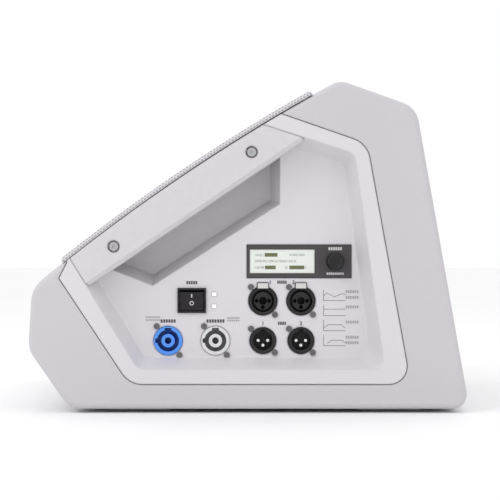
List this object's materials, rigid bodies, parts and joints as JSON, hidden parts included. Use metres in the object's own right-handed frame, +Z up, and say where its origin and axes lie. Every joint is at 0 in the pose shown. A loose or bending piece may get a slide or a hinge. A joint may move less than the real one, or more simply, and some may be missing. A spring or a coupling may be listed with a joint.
{
  "type": "stage monitor wedge",
  "caption": "Active coaxial stage monitor wedge with a bowed perforated grille, recessed side handles and a side connector panel with rocker switch, display and volume knob.",
  "frame": {"origin": "centre of the bounding box in plan, on the floor", "axes": "+Z up, +X towards the rear, -Y out of the control side, grille facing -X and up"},
  "size_m": [0.3622, 0.4, 0.2732],
  "materials": {
    "shell_plastic": "fine moulded texture, light grey",
    "panel_plastic": "fine moulded texture, light grey",
    "grille_steel": "perforated, light grey powder coat",
    "foam": "open-cell acoustic foam",
    "wadding": "polyester wadding",
    "bolt_steel": "zinc plated",
    "black_screw": "black oxide",
    "foot_rubber": "light grey rubber",
    "baffle_wood": "painted board",
    "black_plastic": "black",
    "pole_plastic": "black glass-filled nylon",
    "cast_basket": "black painted steel",
    "surround_rubber": "rolled edge",
    "paper_cone": "coated pulp",
    "coil_copper": "copper winding on a former",
    "spider_cloth": "resin-dipped cloth",
    "ferrite": "ceramic ferrite",
    "plated_steel": "zinc plated",
    "blue_plastic": "blue",
    "white_plastic": "white",
    "gloss_black": "black",
    "display_glass": "clear window",
    "light_pipe": "clear diffuser",
    "contact_brass": "plated",
    "board": "glass epoxy",
    "aluminium": "mill finish",
    "cable_rubber": "sheathed",
    "latch_metal": "nickel plated"
  },
  "bodies": {
    "cabinet": {"amplifier_board": "board", "board_standoffs": "contact_brass", "cabinet_shell": "shell_plastic", "combo_jack_1": "black_plastic", "combo_jack_2": "black_plastic", "connector_screws": "plated_steel", "damping_pad": "wadding", "display_bezel": "black_plastic", "dsp_board": "board", "encoder_body": "plated_steel", "foot_screws": "plated_steel", "front_baffle": "baffle_wood", "grille_foam": "foam", "grille_panel": "grille_steel", "handle_bar_control": "panel_plastic", "handle_bar_plain": "panel_plastic", "handle_bolts": "bolt_steel", "heat_sink": "aluminium", "hf_driver_cover": "black_plastic", "hf_motor": "ferrite", "hf_waveguide": "black_plastic", "lcd_module": "black_plastic", "lcd_window": "display_glass", "mains_cable": "cable_rubber", "module_chassis": "aluminium", "pole_socket": "pole_plastic", "port_tube_left": "black_plastic", "port_tube_right": "black_plastic", "power_in_socket": "blue_plastic", "power_out_socket": "white_plastic", "power_supply_board": "board", "rocker_frame": "gloss_black", "runner_feet": "foot_rubber", "side_panel_control": "panel_plastic", "side_panel_plain": "panel_plastic", "socket_contacts": "contact_brass", "status_light_pipes": "light_pipe", "thru_pins": "contact_brass", "thru_socket_1": "black_plastic", "thru_socket_2": "black_plastic", "woofer_back_plate": "plated_steel", "woofer_basket": "cast_basket", "woofer_cable": "cable_rubber", "woofer_gasket": "surround_rubber", "woofer_magnet": "ferrite", "woofer_screws": "black_screw", "woofer_spider": "spider_cloth", "woofer_surround": "surround_rubber", "woofer_terminals": "black_plastic", "woofer_top_plate": "plated_steel"},
    "power_rocker": {"rocker_button": "gloss_black"},
    "latch_1": {"combo_latch_1": "latch_metal"},
    "latch_2": {"combo_latch_2": "latch_metal"},
    "volume_plunger": {"encoder_plunger": "plated_steel"},
    "volume_control": {"encoder_shaft": "plated_steel", "volume_knob": "black_plastic"},
    "cone_assembly": {"woofer_cone": "paper_cone", "voice_coil": "coil_copper"},
    "tweeter_dome": {"hf_diaphragm": "black_plastic"}
  },
  "joints": [
    {"name": "power_switch_rock", "type": "hinge", "parent": "cabinet", "child": "power_rocker", "pos_m": [-0.0469, -0.176, 0.0921], "axis": [1, 0, 0], "range_deg": [-16, 0]},
    {"name": "latch_1_press", "type": "slide", "parent": "cabinet", "child": "latch_1", "axis": [0, 1, 0], "range_m": [0, 0.0018], "stiffness_N_per_m": 400, "springref_m": -0.001},
    {"name": "latch_2_press", "type": "slide", "parent": "cabinet", "child": "latch_2", "axis": [0, 1, 0], "range_m": [0, 0.0018], "stiffness_N_per_m": 400, "springref_m": -0.001},
    {"name": "volume_press", "type": "slide", "parent": "cabinet", "child": "volume_plunger", "axis": [0, 1, 0], "range_m": [0, 0.0005], "stiffness_N_per_m": 1500, "springref_m": -0.001},
    {"name": "volume_turn", "type": "hinge", "parent": "volume_plunger", "child": "volume_control", "pos_m": [0.073, -0.178, 0.1247], "axis": [0, -1, 0], "continuous": true},
    {"name": "woofer_stroke", "type": "slide", "parent": "cabinet", "child": "cone_assembly", "axis": [-0.5595, 0, 0.8288], "range_m": [-0.004, 0.004], "stiffness_N_per_m": 3000, "deforming": ["woofer_surround", "woofer_spider"]},
    {"name": "tweeter_stroke", "type": "slide", "parent": "cabinet", "child": "tweeter_dome", "axis": [-0.5595, 0, 0.8288], "range_m": [-0.0002, 0.0002], "stiffness_N_per_m": 9000}
  ]
}
